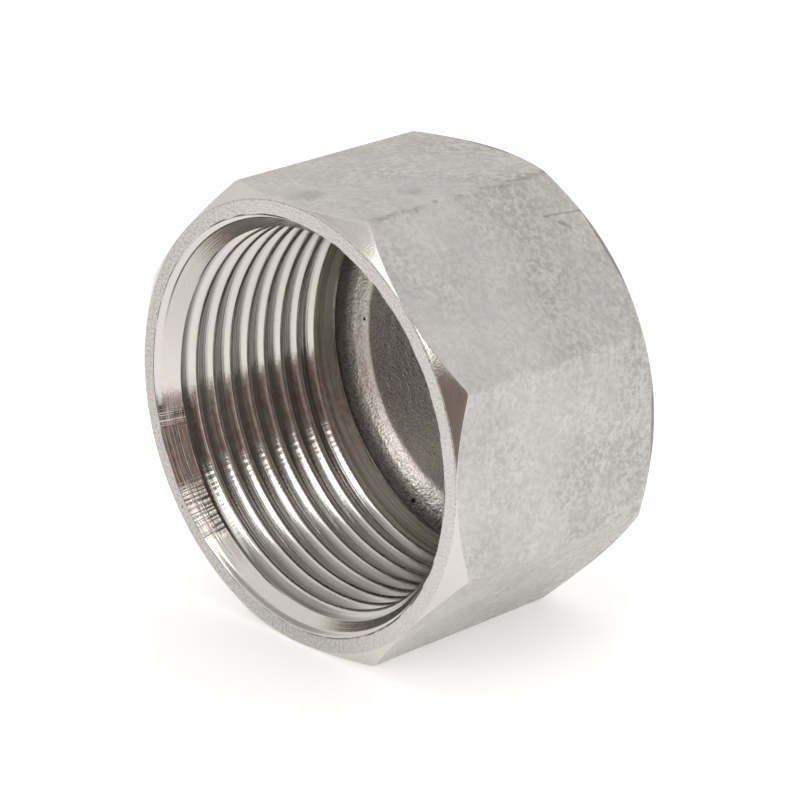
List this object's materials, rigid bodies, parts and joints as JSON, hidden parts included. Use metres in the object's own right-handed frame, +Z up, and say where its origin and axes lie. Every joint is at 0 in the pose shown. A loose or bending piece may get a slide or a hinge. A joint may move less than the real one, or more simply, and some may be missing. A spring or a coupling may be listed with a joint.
{
  "type": "octagonal pipe cap with female pipe thread",
  "caption": "Cast stainless pipe cap with octagonal wrench flats, turned corner cuts and a blind threaded socket that screws over a pipe's end.",
  "frame": {"origin": "under the middle of the cap, on the flat that it rests on", "axes": "+Y along the socket's axis from the open mouth to the closed end, +Z up, +X to the right when looking into the mouth"},
  "size_m": [0.046, 0.027, 0.046],
  "materials": {
    "cast_stainless": "satin as-cast outside, turned and shiny in the socket"
  },
  "bodies": {
    "root": {"cap": "cast_stainless"}
  },
  "joints": []
}
